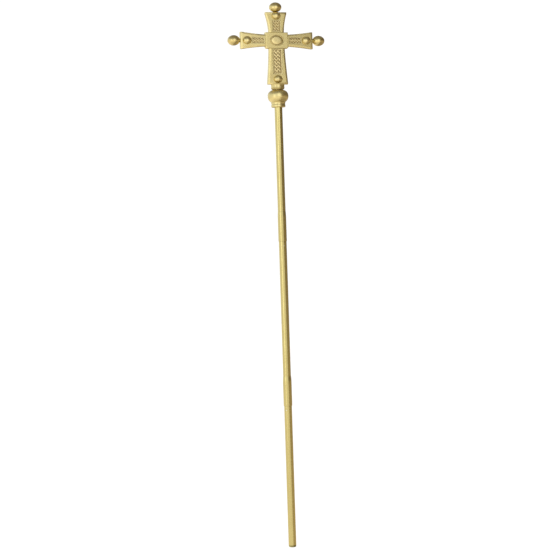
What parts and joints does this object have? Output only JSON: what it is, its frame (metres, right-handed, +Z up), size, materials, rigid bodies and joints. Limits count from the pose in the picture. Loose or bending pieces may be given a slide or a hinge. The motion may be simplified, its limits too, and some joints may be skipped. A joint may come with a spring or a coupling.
{
  "type": "processional cross",
  "caption": "Tall processional cross: flared brass cross with interlace panels, bosses and end balls, on a turned knop and a staff in drawn-apart sections.",
  "frame": {"origin": "centre of the staff's foot, on its lowest face", "axes": "+Z up the staff, the decorated face of the cross towards -Y, the side arms along X"},
  "size_m": [0.3894, 0.08, 2.1015],
  "materials": {
    "satin_brass": "satin, softly brushed, lacquered",
    "ball_brass": "satin, spun and lacquered",
    "relief_brass": "cast, satin on the strands and darker in the ground",
    "staff_brass": "satin drawn tube, lacquered",
    "turned_brass": "turned, a little dull",
    "pin_steel": "bright"
  },
  "bodies": {
    "lower_section": {"lower_tube": "staff_brass", "foot_cap": "turned_brass", "lower_spigot": "turned_brass", "lower_pin": "pin_steel"},
    "middle_section": {"middle_tube": "staff_brass", "lower_sleeve": "staff_brass", "upper_spigot": "turned_brass", "upper_pin": "pin_steel"},
    "upper_section": {"upper_tube": "staff_brass", "upper_sleeve": "staff_brass", "staff_top_plug": "turned_brass"},
    "knop": {"lower_collar": "satin_brass", "socket_tube": "turned_brass", "knop_shell": "satin_brass", "knop_nut": "turned_brass"},
    "set_screw": {"set_screw": "pin_steel"},
    "neck_ring": {"neck_ring": "turned_brass"},
    "cross": {"neck": "satin_brass", "cross_rod": "turned_brass", "front_casting": "satin_brass", "back_casting": "satin_brass", "front_block": "satin_brass", "back_block": "satin_brass", "medallion_bezel": "satin_brass", "medallion_disc": "satin_brass", "top_panel_inlay": "relief_brass", "bottom_panel_inlay": "relief_brass", "left_panel_inlay": "relief_brass", "right_panel_inlay": "relief_brass", "top_boss": "satin_brass", "bottom_boss": "satin_brass", "left_boss": "satin_brass", "right_boss": "satin_brass", "boss_studs": "pin_steel", "stud_nuts": "satin_brass", "top_ball": "ball_brass", "left_ball": "ball_brass", "right_ball": "ball_brass", "ball_studs": "pin_steel", "ball_collars": "turned_brass"}
  },
  "joints": [
    {"name": "lower_joint_draw", "type": "slide", "parent": "lower_section", "child": "middle_section", "axis": [0, 0, 1], "range_m": [0, 0.07]},
    {"name": "upper_joint_draw", "type": "slide", "parent": "middle_section", "child": "upper_section", "axis": [0, 0, 1], "range_m": [0, 0.07]},
    {"name": "head_lift", "type": "slide", "parent": "upper_section", "child": "knop", "axis": [0, 0, 1], "range_m": [0, 0.06]},
    {"name": "set_screw_turn", "type": "hinge", "parent": "knop", "child": "set_screw", "pos_m": [0, 0.02, 1.706], "axis": [0, 1, 0], "range_deg": [0, 1080]},
    {"name": "neck_ring_rise", "type": "slide", "parent": "knop", "child": "neck_ring", "axis": [0, 0, 1], "range_m": [0, 0.015]},
    {"name": "cross_turn", "type": "hinge", "parent": "neck_ring", "child": "cross", "pos_m": [0, 0, 1.769], "axis": [0, 0, 1], "range_deg": [0, 3600]}
  ],
  "couplings": [
    {"joint": "neck_ring_rise", "follows": "cross_turn", "m_per_rad": 0.00023873}
  ]
}
